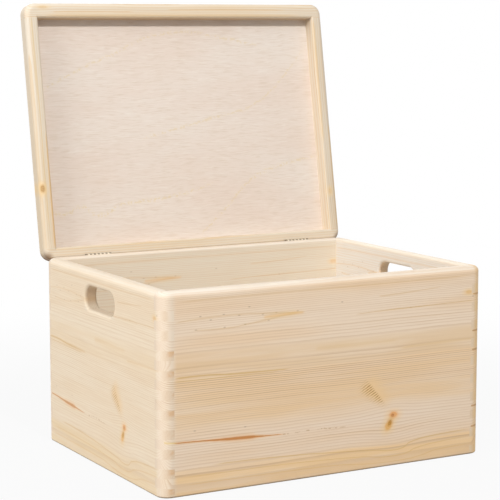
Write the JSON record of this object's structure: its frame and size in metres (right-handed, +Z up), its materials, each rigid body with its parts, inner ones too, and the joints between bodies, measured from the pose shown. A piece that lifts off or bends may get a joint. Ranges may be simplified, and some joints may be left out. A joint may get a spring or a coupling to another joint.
{
  "type": "wooden storage box",
  "caption": "Pine storage box for papers and keepsakes with finger-jointed rounded corners, a hand hole in each side and a framed lid that swings up on hinges sunk into the back edge.",
  "frame": {"origin": "middle of the body's footprint, on the surface the box stands on", "axes": "+X to the right seen from the front, +Y to the back where the hinges are, +Z up"},
  "size_m": [0.4, 0.3698, 0.5033],
  "materials": {
    "pine": "bare, sanded",
    "plywood": "bare, sanded",
    "hinge_steel": "thin brassy plating"
  },
  "bodies": {
    "box": {"front_panel": "pine", "back_panel": "pine", "left_panel": "pine", "right_panel": "pine", "bottom_panel": "plywood", "left_hinge_body_leaf": "hinge_steel", "left_hinge_pin": "hinge_steel", "right_hinge_body_leaf": "hinge_steel", "right_hinge_pin": "hinge_steel"},
    "lid": {"lid_front_rail": "pine", "lid_back_rail": "pine", "lid_left_rail": "pine", "lid_right_rail": "pine", "lid_panel": "plywood", "left_hinge_lid_leaf": "hinge_steel", "right_hinge_lid_leaf": "hinge_steel"}
  },
  "joints": [
    {"name": "lid_hinge", "type": "hinge", "parent": "box", "child": "lid", "pos_m": [0, 0.14675, 0.2122], "axis": [1, 0, 0], "range_deg": [0, 100]}
  ]
}
